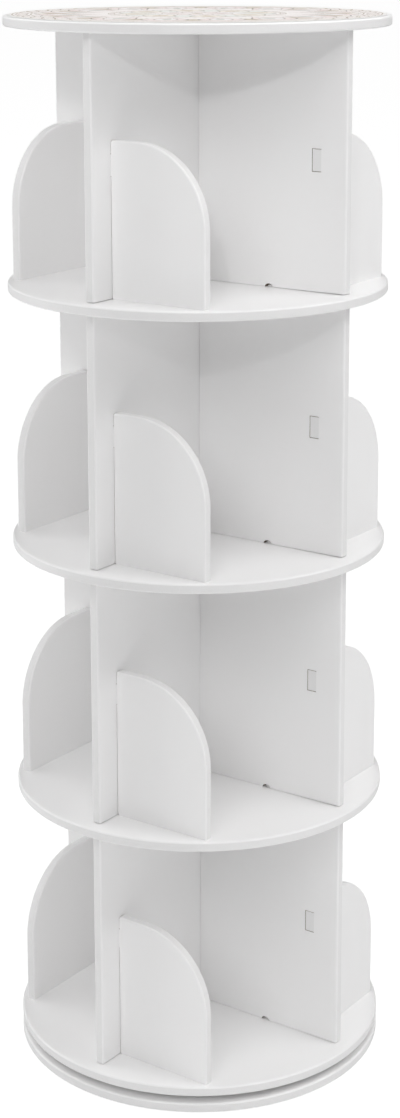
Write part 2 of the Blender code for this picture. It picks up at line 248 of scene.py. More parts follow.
# Sprayed satin lacquer on a sanded face: a clean white that drifts very little in tone, over some
# 90 mm, with the faint orange peel of the spray, drawn at 3 mm because its real 1 mm would not show
face_lacquer = bpy.data.materials.new("sprayed_satin_lacquer_on_fibreboard")
face_lacquer.use_nodes = True
face_shader = face_lacquer.node_tree.nodes["Principled BSDF"]
face_place = add_node(face_lacquer, "ShaderNodeTexCoord")
face_drift = add_node(
    face_lacquer,
    "ShaderNodeTexNoise",
    {"Vector": face_place.outputs["Object"], "Scale": 1 / 0.09, "Detail": 2.0, "Roughness": 0.4},
)
face_tone = add_node(
    face_lacquer,
    "ShaderNodeMix",
    {0: face_drift.outputs["Fac"], 6: linear("#f8f7f7"), 7: linear("#fbfbfb")},
    data_type="RGBA",
)
face_sheen = add_node(
    face_lacquer,
    "ShaderNodeMapRange",
    {"Value": face_drift.outputs["Fac"], "From Min": 0.3, "From Max": 0.7, "To Min": 0.38, "To Max": 0.46},
)
face_peel = add_node(
    face_lacquer,
    "ShaderNodeTexNoise",
    {"Vector": face_place.outputs["Object"], "Scale": 1 / 0.003, "Detail": 1.0},
)
face_bump = add_node(
    face_lacquer,
    "ShaderNodeBump",
    {"Height": face_peel.outputs["Fac"], "Strength": 0.15, "Distance": 0.0001},
)
face_lacquer.node_tree.links.new(face_tone.outputs[2], face_shader.inputs["Base Color"])
face_lacquer.node_tree.links.new(face_sheen.outputs[0], face_shader.inputs["Roughness"])
face_lacquer.node_tree.links.new(face_bump.outputs["Normal"], face_shader.inputs["Normal"])
face_shader.inputs["IOR"].default_value = 1.5

# The same lacquer on the routed edge: the fibres drink it, so it is duller, with a light grain of
# 1.5 mm. Its tone is also painted a shade darker than the faces' tone, as painted shade for the
# weaker light that the board's sides get.
edge_lacquer_with_painted_shade = bpy.data.materials.new("satin_lacquer_on_routed_edge_with_painted_shade")
edge_lacquer_with_painted_shade.use_nodes = True
edge_shader = edge_lacquer_with_painted_shade.node_tree.nodes["Principled BSDF"]
edge_place = add_node(edge_lacquer_with_painted_shade, "ShaderNodeTexCoord")
edge_fibre = add_node(
    edge_lacquer_with_painted_shade,
    "ShaderNodeTexNoise",
    {"Vector": edge_place.outputs["Object"], "Scale": 1 / 0.0015, "Detail": 3.0},
)
# Painted shade: the edge tones are set darker than the face tones, so that the board's sides read shaded
edge_grain_and_shade_tone = add_node(
    edge_lacquer_with_painted_shade,
    "ShaderNodeMix",
    {0: edge_fibre.outputs["Fac"], 6: linear("#edecec"), 7: linear("#f3f3f3")},
    data_type="RGBA",
)
edge_sheen = add_node(
    edge_lacquer_with_painted_shade,
    "ShaderNodeMapRange",
    {"Value": edge_fibre.outputs["Fac"], "From Min": 0.3, "From Max": 0.7, "To Min": 0.44, "To Max": 0.54},
)
edge_bump = add_node(
    edge_lacquer_with_painted_shade,
    "ShaderNodeBump",
    {"Height": edge_fibre.outputs["Fac"], "Strength": 0.2, "Distance": 0.0001},
)
edge_lacquer_with_painted_shade.node_tree.links.new(edge_grain_and_shade_tone.outputs[2], edge_shader.inputs["Base Color"])
edge_lacquer_with_painted_shade.node_tree.links.new(edge_sheen.outputs[0], edge_shader.inputs["Roughness"])
edge_lacquer_with_painted_shade.node_tree.links.new(edge_bump.outputs["Normal"], edge_shader.inputs["Normal"])
edge_shader.inputs["IOR"].default_value = 1.5

# Bare fibreboard where a cut was made after spraying: a dull tan, speckled with fibres of 1.2 mm. The tan
# is the bare board's colour; it is made this dark as painted shade in the notches, mortises, sockets and
# holes
recess_shade_fibreboard = bpy.data.materials.new("routed_fibreboard_with_painted_recess_shade")
recess_shade_fibreboard.use_nodes = True
bare_shader = recess_shade_fibreboard.node_tree.nodes["Principled BSDF"]
bare_place = add_node(recess_shade_fibreboard, "ShaderNodeTexCoord")
bare_fibre = add_node(
    recess_shade_fibreboard,
    "ShaderNodeTexNoise",
    {"Vector": bare_place.outputs["Object"], "Scale": 1 / 0.0012, "Detail": 4.0},
)
# Painted shade: these tones are kept dark so that the recesses read shaded
recess_shade_tone = add_node(
    recess_shade_fibreboard,
    "ShaderNodeMix",
    {0: bare_fibre.outputs["Fac"], 6: linear("#6f6051"), 7: linear("#9b8a75")},
    data_type="RGBA",
)
bare_bump = add_node(
    recess_shade_fibreboard,
    "ShaderNodeBump",
    {"Height": bare_fibre.outputs["Fac"], "Strength": 0.5, "Distance": 0.0002},
)
recess_shade_fibreboard.node_tree.links.new(recess_shade_tone.outputs[2], bare_shader.inputs["Base Color"])
recess_shade_fibreboard.node_tree.links.new(bare_bump.outputs["Normal"], bare_shader.inputs["Normal"])
bare_shader.inputs["Roughness"].default_value = 0.9
bare_shader.inputs["IOR"].default_value = 1.5

base = round_board(BASE_BOTTOM)
finish_board(base, 2)
base.name = base.data.name = "base_disc"
hand_over(base, "base", "base_board")


# Turntable rings

# Two flat rings, one inside the other, that make a bearing between the base and the first shelf.
# They are turned from aluminium; a round groove in the wall of each holds half of every ball.
BASE_TOP = BASE_BOTTOM + BOARD
TURNTABLE_HEIGHT = 0.0095
RING_HEIGHT = 0.008
RING_WIDTH = 0.020
RING_FACETS = 144
BALL_CIRCLE = 0.0958
RACE_GAP = 0.0024
BALL_RADIUS = 0.0025
BALL_HEIGHT = BASE_TOP + TURNTABLE_HEIGHT / 2
MERGE = 0.00002
LATHE_PITCH = 0.0008


def turned_ring(inner, outer, bottom, top):
    """A flat ring: a disc whose two caps are inset and then bridged through the middle."""
    ring = start_from(
        bpy.ops.mesh.primitive_cylinder_add,
        vertices=RING_FACETS,
        radius=outer,
        depth=top - bottom,
        location=(0, 0, (top + bottom) / 2),
    )
    pick(ring, "FACE", lambda face: abs(face.normal.z) > FACING)
    bpy.ops.mesh.inset(thickness=outer - inner)
    bpy.ops.mesh.bridge_edge_loops()
    bpy.ops.object.mode_set(mode="OBJECT")
    return ring


def cut_away(piece, cutter):
    """Cuts one shape out of another and throws the cutter away."""
    bpy.context.view_layer.objects.active = piece
    cut = piece.modifiers.new("cut", "BOOLEAN")
    cut.operation = "DIFFERENCE"
    cut.object = cutter
    bpy.ops.object.modifier_apply(modifier=cut.name)
    bpy.data.objects.remove(cutter)


def grooved(ring):
    """Turns the ball groove into a ring, breaks its sharp rims and shades it."""
    groove = start_from(
        bpy.ops.mesh.primitive_torus_add,
        major_segments=RING_FACETS,
        minor_segments=22,
        major_radius=BALL_CIRCLE,
        minor_radius=BALL_RADIUS + HAIRLINE,
        location=(0, 0, BALL_HEIGHT),
    )
    bpy.ops.object.mode_set(mode="OBJECT")
    cut_away(ring, groove)
    bpy.ops.object.mode_set(mode="EDIT")
    bpy.ops.mesh.select_all(action="SELECT")
    bpy.ops.mesh.remove_doubles(threshold=MERGE)
    bpy.ops.object.mode_set(mode="OBJECT")
    rims = ring.modifiers.new("rims", "BEVEL")
    rims.width = BROKEN_EDGE
    rims.segments = 2
    rims.angle_limit = SMOOTH
    bpy.ops.object.modifier_apply(modifier=rims.name)
    bpy.ops.object.select_all(action="DESELECT")
    ring.select_set(True)
    bpy.ops.object.shade_smooth_by_angle(angle=SMOOTH)
    ring.data.materials.append(turned_aluminium)


# Turned aluminium: pale and bright, with the lathe's fine circles round the axis, drawn 0.8 mm
# apart because the real feed of 0.2 mm would not show. A wave texture of scale 1 repeats every
# 2 pi / 20 metres.
turned_aluminium = bpy.data.materials.new("turned_aluminium")
turned_aluminium.use_nodes = True
aluminium_shader = turned_aluminium.node_tree.nodes["Principled BSDF"]
aluminium_place = add_node(turned_aluminium, "ShaderNodeTexCoord")
lathe_lines = add_node(
    turned_aluminium,
    "ShaderNodeTexWave",
    {
        "Vector": aluminium_place.outputs["Object"],
        "Scale": 2 * math.pi / LATHE_PITCH / 20,
        "Distortion": 0.4,
    },
    wave_type="RINGS",
    rings_direction="Z",
)
aluminium_tone = add_node(
    turned_aluminium,
    "ShaderNodeMix",
    {0: lathe_lines.outputs["Fac"], 6: linear("#b4b6b8"), 7: linear("#cccdce")},
    data_type="RGBA",
)
aluminium_sheen = add_node(
    turned_aluminium,
    "ShaderNodeMapRange",
    {"Value": lathe_lines.outputs["Fac"], "To Min": 0.28, "To Max": 0.42},
)
aluminium_bump = add_node(
    turned_aluminium,
    "ShaderNodeBump",
    {"Height": lathe_lines.outputs["Fac"], "Strength": 0.2, "Distance": 0.00005},
)
turned_aluminium.node_tree.links.new(aluminium_tone.outputs[2], aluminium_shader.inputs["Base Color"])
turned_aluminium.node_tree.links.new(aluminium_sheen.outputs[0], aluminium_shader.inputs["Roughness"])
turned_aluminium.node_tree.links.new(aluminium_bump.outputs["Normal"], aluminium_shader.inputs["Normal"])
aluminium_shader.inputs["Metallic"].default_value = 1.0

ring_bottom = BASE_TOP + HAIRLINE
base_ring_outer = BALL_CIRCLE - RACE_GAP / 2
base_ring = turned_ring(
    base_ring_outer - RING_WIDTH,
    base_ring_outer,
    ring_bottom,
    ring_bottom + RING_HEIGHT,
)
grooved(base_ring)
base_ring.name = base_ring.data.name = "bearing_ring_below"
hand_over(base_ring, "base", "turntable_base_ring")

ring_top = BASE_TOP + TURNTABLE_HEIGHT - HAIRLINE
top_ring_inner = BALL_CIRCLE + RACE_GAP / 2
top_ring = turned_ring(top_ring_inner, top_ring_inner + RING_WIDTH, ring_top - RING_HEIGHT, ring_top)
grooved(top_ring)
top_ring.name = top_ring.data.name = "bearing_ring_above"
hand_over(top_ring, "carousel", "turntable_top_ring")


# Ball cage

# A thin hoop between the rings that keeps twelve steel balls apart. The hoop is pressed from
# steel strip and the balls are hardened and polished; they run loose in the two grooves.
BALLS = 12
CAGE_THICKNESS = 0.001
CAGE_HEIGHT = 0.003

cage = turned_ring(
    BALL_CIRCLE - CAGE_THICKNESS / 2,
    BALL_CIRCLE + CAGE_THICKNESS / 2,
    BALL_HEIGHT - CAGE_HEIGHT / 2,
    BALL_HEIGHT + CAGE_HEIGHT / 2,
)
bpy.ops.object.mode_set(mode="EDIT")
for number in range(BALLS):
    angle = 2 * math.pi * number / BALLS
    bpy.ops.mesh.primitive_uv_sphere_add(
        segments=20,
        ring_count=12,
        radius=BALL_RADIUS,
        location=(BALL_CIRCLE * math.cos(angle), BALL_CIRCLE * math.sin(angle), BALL_HEIGHT),
    )
bpy.ops.object.mode_set(mode="OBJECT")
bpy.ops.object.shade_smooth_by_angle(angle=SMOOTH)

# Polished bearing steel: a darker, cooler grey than the rings, with a soft smear of grease in
# patches of 4 mm
bearing_steel = bpy.data.materials.new("polished_bearing_steel")
bearing_steel.use_nodes = True
steel_shader = bearing_steel.node_tree.nodes["Principled BSDF"]
steel_place = add_node(bearing_steel, "ShaderNodeTexCoord")
steel_grease = add_node(
    bearing_steel,
    "ShaderNodeTexNoise",
    {"Vector": steel_place.outputs["Object"], "Scale": 1 / 0.004, "Detail": 2.0},
)
steel_tone = add_node(
    bearing_steel,
    "ShaderNodeMix",
    {0: steel_grease.outputs["Fac"], 6: linear("#8e9094"), 7: linear("#b3b5b8")},
    data_type="RGBA",
)
steel_sheen = add_node(
    bearing_steel,
    "ShaderNodeMapRange",
    {"Value": steel_grease.outputs["Fac"], "To Min": 0.12, "To Max": 0.32},
)
bearing_steel.node_tree.links.new(steel_tone.outputs[2], steel_shader.inputs["Base Color"])
bearing_steel.node_tree.links.new(steel_sheen.outputs[0], steel_shader.inputs["Roughness"])
steel_shader.inputs["Metallic"].default_value = 1.0
cage.data.materials.append(bearing_steel)
cage.name = cage.data.name = "bearing_balls_and_cage"
hand_over(cage, "ball_cage", "turntable_ball_cage")


# Shelves

# Four round shelves, cut and sprayed like the base. Each has blind sockets in its top for the
# tongues of the walls and book stops, and four screw holes into what stands below it.
TIERS = 4
CLEAR_HEIGHT = 0.304
TIER_PITCH = BOARD + CLEAR_HEIGHT
FIRST_SHELF = BASE_TOP + TURNTABLE_HEIGHT
FIRST_FLOOR = FIRST_SHELF + BOARD
WALL_REACH = 0.213
STOP_LENGTH = 0.130
STOP_CENTRE = 0.1725
SCREW_CIRCLE = 0.107
TONGUE_LENGTH = 0.040
TONGUE_THICKNESS = 0.008
TONGUE_DEPTH = 0.005
WALL_TONGUE_CENTRE = 0.062
STOP_TONGUE_CENTRE = (BOARD + STOP_LENGTH) / 2
HOLE_RADIUS = 0.0023

# How far a cutter, or the test for what it cut, reaches past its place, and how deep inside a board
# a face is surely a cut
OVERRUN = 0.001
INSIDE = 0.0005

shelf = round_board(FIRST_SHELF)
socket_depth = TONGUE_DEPTH + OVERRUN
socket_size = (TONGUE_LENGTH + 2 * HAIRLINE, TONGUE_THICKNESS + 2 * HAIRLINE, socket_depth)
socket_height = FIRST_FLOOR - TONGUE_DEPTH + socket_depth / 2
for quarter in range(4):
    turned = Matrix.Rotation(quarter * math.pi / 2, 4, "Z")
    for along, across in ((WALL_TONGUE_CENTRE, 0), (STOP_TONGUE_CENTRE, -STOP_CENTRE)):
        socket = start_from(
            bpy.ops.mesh.primitive_cube_add,
            size=1,
            scale=socket_size,
            location=turned @ Matrix.Translation((along, across, socket_height)).translation,
            rotation=(0, 0, quarter * math.pi / 2),
        )
        bpy.ops.object.mode_set(mode="OBJECT")
        cut_away(shelf, socket)
    hole = start_from(
        bpy.ops.mesh.primitive_cylinder_add,
        vertices=16,
        radius=HOLE_RADIUS,
        depth=2 * BOARD,
        location=turned @ Matrix.Translation((SCREW_CIRCLE, 0, FIRST_SHELF)).translation,
    )
    bpy.ops.object.mode_set(mode="OBJECT")
    cut_away(shelf, hole)
finish_board(
    shelf,
    2,
    # The sockets and screw holes are painted dark tan, as painted shade
    shaded_cut=lambda cut: math.hypot(cut.center.x, cut.center.y) < BOARD_RADIUS - ROUND_OVER - OVERRUN
    and FIRST_SHELF + INSIDE < cut.center.z < FIRST_FLOOR - INSIDE,
)

for tier in range(TIERS):
    raised = copy_of(shelf, f"shelf_disc_{tier + 1}", Matrix.Translation((0, 0, tier * TIER_PITCH)))
    hand_over(raised, "carousel", f"shelf_{tier + 1}")
bpy.data.objects.remove(shelf)


# Shelf screws

# Pan-head screws with a cross recess, four down through each shelf. They are cold-headed in
# steel and zinc-plated, with white enamelled heads; the walls above are notched to clear them.
HEAD_RADIUS = 0.004
HEAD_HEIGHT = 0.0022
HEAD_ROUND = 0.0015
HEAD_SMOOTH = math.radians(35)
HEAD_SEAT = FIRST_FLOOR + HAIRLINE
RECESS_LENGTH = 0.0042
RECESS_WIDTH = 0.0008
RECESS_BLOCK = 0.003
RECESS_LIFT = 0.0003
RECESS_TAPER = 0.5
SHANK_RADIUS = 0.002
POINT_TAPER = 0.1
WALL_BITE = 0.028
DRIVEN_STEP = 37


def pan_screw(length):
    """A screw on the axis whose head rests at z = 0."""
    screw = start_from(
        bpy.ops.mesh.primitive_cylinder_add,
        vertices=32,
        radius=HEAD_RADIUS,
        depth=HEAD_HEIGHT,
        location=(0, 0, HEAD_HEIGHT / 2),
    )
    pick(screw, "EDGE", lambda edge: all(v.co.z > HEAD_HEIGHT / 2 for v in edge.verts))
    bpy.ops.mesh.bevel(offset=HEAD_ROUND, segments=ROUND_STEPS, profile=0.5, affect="EDGES")
    pick(screw, "FACE", lambda face: face.normal.z < -FACING)
    bpy.ops.mesh.inset(thickness=HEAD_RADIUS - SHANK_RADIUS)
    bpy.ops.mesh.extrude_region_move(TRANSFORM_OT_translate={"value": (0, 0, SHANK_RADIUS - length)})
    bpy.ops.mesh.extrude_region_move(TRANSFORM_OT_translate={"value": (0, 0, -SHANK_RADIUS)})
    bpy.ops.transform.resize(value=(POINT_TAPER, POINT_TAPER, 1))
    bpy.ops.object.mode_set(mode="OBJECT")
    for turn in (0, math.pi / 2):
        recess = start_from(
            bpy.ops.mesh.primitive_cube_add,
            size=1,
            scale=(RECESS_LENGTH, RECESS_WIDTH, RECESS_BLOCK),
            location=(0, 0, HEAD_HEIGHT + RECESS_LIFT),
            rotation=(0, 0, turn),
        )
        pick(recess, "FACE", lambda face: face.normal.z < -FACING)
        bpy.ops.transform.resize(value=(RECESS_TAPER, RECESS_TAPER, 1))
        bpy.ops.object.mode_set(mode="OBJECT")
        cut_away(screw, recess)
    bpy.ops.object.select_all(action="DESELECT")
    screw.select_set(True)
    bpy.ops.object.shade_smooth_by_angle(angle=HEAD_SMOOTH)
    screw.data.materials.append(zinc_plate)
    screw.data.materials.append(head_enamel)
    for face in screw.data.polygons:
        face.material_index = 1 if face.center.z > NEAR else 0
    return screw


# Bright zinc plate: a cool silver that is evenly satin, with faint milky spangles of 1.5 mm
zinc_plate = bpy.data.materials.new("zinc_plated_steel")
zinc_plate.use_nodes = True
zinc_shader = zinc_plate.node_tree.nodes["Principled BSDF"]
zinc_place = add_node(zinc_plate, "ShaderNodeTexCoord")
zinc_spangle = add_node(
    zinc_plate,
    "ShaderNodeTexNoise",
    {"Vector": zinc_place.outputs["Object"], "Scale": 1 / 0.0015, "Detail": 3.0},
)
zinc_tone = add_node(
    zinc_plate,
    "ShaderNodeMix",
    {0: zinc_spangle.outputs["Fac"], 6: linear("#d4d6d8"), 7: linear("#ecedee")},
    data_type="RGBA",
)
zinc_sheen = add_node(
    zinc_plate,
    "ShaderNodeMapRange",
    {"Value": zinc_spangle.outputs["Fac"], "To Min": 0.32, "To Max": 0.5},
)
zinc_plate.node_tree.links.new(zinc_tone.outputs[2], zinc_shader.inputs["Base Color"])
zinc_plate.node_tree.links.new(zinc_sheen.outputs[0], zinc_shader.inputs["Roughness"])
zinc_shader.inputs["Metallic"].default_value = 1.0

# Baked enamel on the heads: the lacquer's white, glossier and with the soft waves of a thick dip,
# drawn at 1 mm
head_enamel = bpy.data.materials.new("baked_white_enamel")
head_enamel.use_nodes = True
enamel_shader = head_enamel.node_tree.nodes["Principled BSDF"]
enamel_place = add_node(head_enamel, "ShaderNodeTexCoord")
enamel_wave = add_node(
    head_enamel,
    "ShaderNodeTexNoise",
    {"Vector": enamel_place.outputs["Object"], "Scale": 1 / 0.001, "Detail": 1.0},
)
enamel_tone = add_node(
    head_enamel,
    "ShaderNodeMix",
    {0: enamel_wave.outputs["Fac"], 6: linear("#f3f3f3"), 7: linear("#fbfbfb")},
    data_type="RGBA",
)
enamel_bump = add_node(
    head_enamel,
    "ShaderNodeBump",
    {"Height": enamel_wave.outputs["Fac"], "Strength": 0.2, "Distance": 0.0001},
)
head_enamel.node_tree.links.new(enamel_tone.outputs[2], enamel_shader.inputs["Base Color"])
head_enamel.node_tree.links.new(enamel_bump.outputs["Normal"], enamel_shader.inputs["Normal"])
enamel_shader.inputs["Roughness"].default_value = 0.25
enamel_shader.inputs["IOR"].default_value = 1.52

ring_screw = pan_screw(BOARD + RING_HEIGHT)
wall_screw = pan_screw(BOARD + WALL_BITE)
for tier in range(TIERS):
    for quarter, letter in enumerate("abcd"):
        # Each recess is left at its own angle, as a driver leaves it
        driven = Matrix.Rotation(math.radians(DRIVEN_STEP * (4 * tier + quarter)), 4, "Z")
        seat = Matrix.Translation((SCREW_CIRCLE, 0, HEAD_SEAT + tier * TIER_PITCH))
        place = Matrix.Rotation(quarter * math.pi / 2, 4, "Z") @ seat @ driven
        screw = copy_of(wall_screw if tier else ring_screw, f"pan_screw_{tier + 1}_{letter}", place)
        hand_over(screw, "carousel", f"shelf_{tier + 1}_screw_{letter}")
bpy.data.objects.remove(ring_screw)
bpy.data.objects.remove(wall_screw)


# Walls

# Two boards to a tier that cross at the axis in a half lap and so make four arms. Each is sawn
# from the same board, with rounded ends, a mortise for each book stop and notches for the screws.
WALL_HEIGHT = CLEAR_HEIGHT - 2 * HAIRLINE
WALL_FOOT = FIRST_FLOOR + HAIRLINE
END_LIFT = 0.0005
LAP_GAP = 0.0002
NOTCH_WIDTH = 0.0108
NOTCH_HEIGHT = 0.0037
TONGUE_FOOT = FIRST_FLOOR + HAIRLINE - TONGUE_DEPTH
TENON_BOTTOM = 0.1412
TENON_TOP = 0.1668
MORTISE_GAP = 0.0005

# A facet that leans less than this towards the board's face may be part of a cut, which is painted dark tan
# as painted shade
CUT_LEAN = 0.9


def add_to(piece, tool):
    """Joins one shape to another."""
    bpy.context.view_layer.objects.active = piece
    join = piece.modifiers.new("join", "BOOLEAN")
    join.operation = "UNION"
    join.object = tool
    bpy.ops.object.modifier_apply(modifier=join.name)
    bpy.data.objects.remove(tool)


def block(low, high):
    """A block between two corners, for cutting or joining."""
    made = start_from(
        bpy.ops.mesh.primitive_cube_add,
        size=1,
        scale=[b - a for a, b in zip(low, high)],
        location=[(a + b) / 2 for a, b in zip(low, high)],
    )
    bpy.ops.object.mode_set(mode="OBJECT")
    return made


def wall(lap_low, lap_high):
    """A wall along X for the first tier, with its half lap between two heights."""
    face = BOARD / 2
    board = block((-WALL_REACH, -face, WALL_FOOT), (WALL_REACH, face, WALL_FOOT + WALL_HEIGHT))
    lap = face + LAP_GAP
    cut_away(board, block((-lap, -BOARD, lap_low), (lap, BOARD, lap_high)))
    for side in (1, -1):
        # The tenon sits tight against the outer end of its mortise and leaves a hairline inside
        ends = sorted((side * (STOP_CENTRE - face - MORTISE_GAP), side * (STOP_CENTRE + face)))
        low = (ends[0], -BOARD, FIRST_FLOOR + TENON_BOTTOM - MORTISE_GAP)
        high = (ends[1], BOARD, FIRST_FLOOR + TENON_TOP + MORTISE_GAP)
        cut_away(board, block(low, high))
        notch = start_from(
            bpy.ops.mesh.primitive_cylinder_add,
            vertices=48,
            radius=0.5,
            depth=2 * BOARD,
            location=(side * SCREW_CIRCLE, 0, WALL_FOOT),
            rotation=(math.pi / 2, 0, 0),
            scale=(NOTCH_WIDTH, 2 * NOTCH_HEIGHT, 1),
        )
        bpy.ops.object.mode_set(mode="OBJECT")
        cut_away(board, notch)
        middle = side * WALL_TONGUE_CENTRE
        low = (middle - TONGUE_LENGTH / 2, -TONGUE_THICKNESS / 2, TONGUE_FOOT)
        high = (middle + TONGUE_LENGTH / 2, TONGUE_THICKNESS / 2, WALL_FOOT + OVERRUN)
        add_to(board, block(low, high))
    bpy.context.view_layer.objects.active = board
    bpy.ops.object.mode_set(mode="EDIT")
    # The foot rises a hair from the notches to the ends, so that the wall bears near its middle
    pick(
        board,
        "EDGE",
        lambda edge: all(
            abs(v.co.x) > WALL_REACH - NEAR and v.co.z < WALL_FOOT + NEAR for v in edge.verts
        ),
    )
    bpy.ops.transform.translate(value=(0, 0, END_LIFT))
    pick(
        board,
        "EDGE",
        lambda edge: all(abs(v.co.x) > WALL_REACH - NEAR for v in edge.verts)
        and abs(edge.verts[0].co.z - edge.verts[1].co.z) > WALL_HEIGHT / 2,
    )
    bpy.ops.mesh.bevel(offset=ROUND_OVER, segments=ROUND_STEPS, profile=0.5, affect="EDGES")
    bpy.ops.object.mode_set(mode="OBJECT")
    finish_board(
        board,
        1,
        tight=lambda edge: all(
            abs(abs(v.co.x) - STOP_CENTRE - face) < 2 * NEAR
            and TENON_BOTTOM - OVERRUN < v.co.z - FIRST_FLOOR < TENON_TOP + OVERRUN
            for v in edge.verts
        ),
        # The notches and mortises are painted dark tan, as painted shade
        shaded_cut=lambda cut: abs(cut.normal.y) < CUT_LEAN
        and (
            abs(abs(cut.center.x) - SCREW_CIRCLE) < NOTCH_WIDTH / 2 + INSIDE
            and cut.center.z < WALL_FOOT + NOTCH_HEIGHT + INSIDE
            or abs(abs(cut.center.x) - STOP_CENTRE) < face + OVERRUN
            and TENON_BOTTOM - OVERRUN < cut.center.z - FIRST_FLOOR < TENON_TOP + OVERRUN
        ),
    )
    return board


wall_middle = WALL_FOOT + WALL_HEIGHT / 2
walls = {
    "x": wall(wall_middle - LAP_GAP / 2, WALL_FOOT + WALL_HEIGHT + OVERRUN),
    "y": wall(WALL_FOOT - OVERRUN, wall_middle + LAP_GAP / 2),
}
for tier in range(TIERS):
    for axis, board in walls.items():
        turned = Matrix.Rotation(math.pi / 2 if axis == "y" else 0, 4, "Z")
        place = Matrix.Translation((0, 0, tier * TIER_PITCH)) @ turned
        standing = copy_of(board, f"wall_board_{tier + 1}_{axis}", place)
        hand_over(standing, "carousel", f"tier_{tier + 1}_wall_{axis}")
for board in walls.values():
    bpy.data.objects.remove(board)


# Book stops

# A low board on each arm that keeps the books in. It is sawn with one large rounded corner, its
# outer edges are rounded over, and its tenon goes right through the arm and shows on the far side.
STOP_HEIGHT = 0.182
STOP_CORNER = 0.095
STOP_LIFT = 0.00005
STOP_FOOT = FIRST_FLOOR + STOP_LIFT
STOP_RELIEF = 0.0016

stop_inner = BOARD / 2 + HAIRLINE
stop_outer = BOARD / 2 + STOP_LENGTH
stop_near = -STOP_CENTRE - BOARD / 2
stop_far = -STOP_CENTRE + BOARD / 2
stop_top = FIRST_FLOOR + STOP_HEIGHT
stop = block((stop_inner, stop_near, STOP_FOOT), (stop_outer, stop_far, stop_top))
bpy.ops.object.mode_set(mode="EDIT")
pick(
    stop,
    "EDGE",
    lambda edge: all(v.co.x > stop_outer - NEAR and v.co.z > stop_top - NEAR for v in edge.verts),
)
bpy.ops.mesh.bevel(offset=STOP_CORNER, segments=40, profile=0.5, affect="EDGES")
for height in (TENON_BOTTOM, TENON_TOP):
    bpy.ops.mesh.select_all(action="SELECT")
    bpy.ops.mesh.bisect(plane_co=(0, 0, FIRST_FLOOR + height), plane_no=(0, 0, 1))
pick(
    stop,
    "FACE",
    lambda face: face.normal.x < -FACING
    and TENON_BOTTOM < face.calc_center_median().z - FIRST_FLOOR < TENON_TOP,
)
bpy.ops.mesh.extrude_region_move(TRANSFORM_OT_translate={"value": (-BOARD - HAIRLINE, 0, 0)})
pick(
    stop,
    "EDGE",
    lambda edge: abs(edge.verts[0].co.y - edge.verts[1].co.y) < NEAR
    and edge.calc_face_angle(0) > SHARP
    and (
        all(v.co.z > stop_top - NEAR for v in edge.verts)
        or all(v.co.x > stop_outer - STOP_CORNER - NEAR for v in edge.verts)
        and max(v.co.z for v in edge.verts) > STOP_FOOT + NEAR
    ),
)
bpy.ops.mesh.bevel(offset=ROUND_OVER, segments=ROUND_STEPS, profile=0.5, affect="EDGES")
# The foot's inner corner is nipped off, so that it clears the glue in the joint
pick(
    stop,
    "EDGE",
    lambda edge: all(v.co.x < stop_inner + NEAR and v.co.z < STOP_FOOT + NEAR for v in edge.verts),
)
bpy.ops.mesh.bevel(offset=STOP_RELIEF, segments=1, affect="EDGES")
bpy.ops.object.mode_set(mode="OBJECT")
low = (STOP_TONGUE_CENTRE - TONGUE_LENGTH / 2, -STOP_CENTRE - TONGUE_THICKNESS / 2, TONGUE_FOOT)
high = (STOP_TONGUE_CENTRE + TONGUE_LENGTH / 2, -STOP_CENTRE + TONGUE_THICKNESS / 2, STOP_FOOT + OVERRUN)
add_to(stop, block(low, high))
finish_board(
    stop,
    1,
    tight=lambda edge: all(v.co.z < STOP_FOOT + 2 * NEAR for v in edge.verts)
    or all(v.co.x < NEAR - BOARD / 2 and v.co.y < stop_near + 2 * NEAR for v in edge.verts),
    shaded_cut=lambda cut: abs(cut.normal.y) < CUT_LEAN
    and -BOARD / 2 + INSIDE < cut.center.x < stop_inner + STOP_RELIEF,
)

for tier in range(TIERS):
    for quarter, letter in enumerate("abcd"):
        turned = Matrix.Rotation(quarter * math.pi / 2, 4, "Z")
        place = Matrix.Translation((0, 0, tier * TIER_PITCH)) @ turned
        standing = copy_of(stop, f"book_stop_{tier + 1}_{letter}", place)
        hand_over(standing, "carousel", f"tier_{tier + 1}_stop_{letter}")
bpy.data.objects.remove(stop)


# Top board

# The lid of the upper tier, cut and sprayed like the shelves. It is screwed down into the walls
# with four countersunk screws, and the printed film hides their heads.
TOP_BOTTOM = FIRST_SHELF + TIERS * TIER_PITCH
SINK_RADIUS = 0.0053
SINK_DEPTH = 0.003
SINK_DROP = 0.0008

top = round_board(TOP_BOTTOM)
for quarter in range(4):
    turned = Matrix.Rotation(quarter * math.pi / 2, 4, "Z")
    hole = start_from(
        bpy.ops.mesh.primitive_cone_add,
        vertices=24,
        radius1=HOLE_RADIUS,
        radius2=SINK_RADIUS,
        depth=SINK_DEPTH,
        location=turned @ Matrix.Translation((SCREW_CIRCLE, 0, TOP_BOTTOM + BOARD - SINK_DROP)).translation,
    )
    pick(hole, "FACE", lambda face: face.normal.z < -FACING)
    bpy.ops.mesh.extrude_region_move(TRANSFORM_OT_translate={"value": (0, 0, -BOARD)})
    bpy.ops.object.mode_set(mode="OBJECT")
    cut_away(top, hole)
finish_board(
    top,
    2,
    shaded_cut=lambda cut: math.hypot(cut.center.x, cut.center.y) < BOARD_RADIUS - ROUND_OVER - OVERRUN
    and TOP_BOTTOM + INSIDE < cut.center.z < TOP_BOTTOM + BOARD - INSIDE,
)
top.name = top.data.name = "top_disc"
hand_over(top, "carousel", "top_board")

# The sunk screws under the film keep the frame's own shape and get the same zinc plate
for letter in "abcd":
    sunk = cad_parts[f"top_screw_{letter}"]
    sunk.data.materials.clear()
    sunk.data.materials.append(zinc_plate)


# Printed film

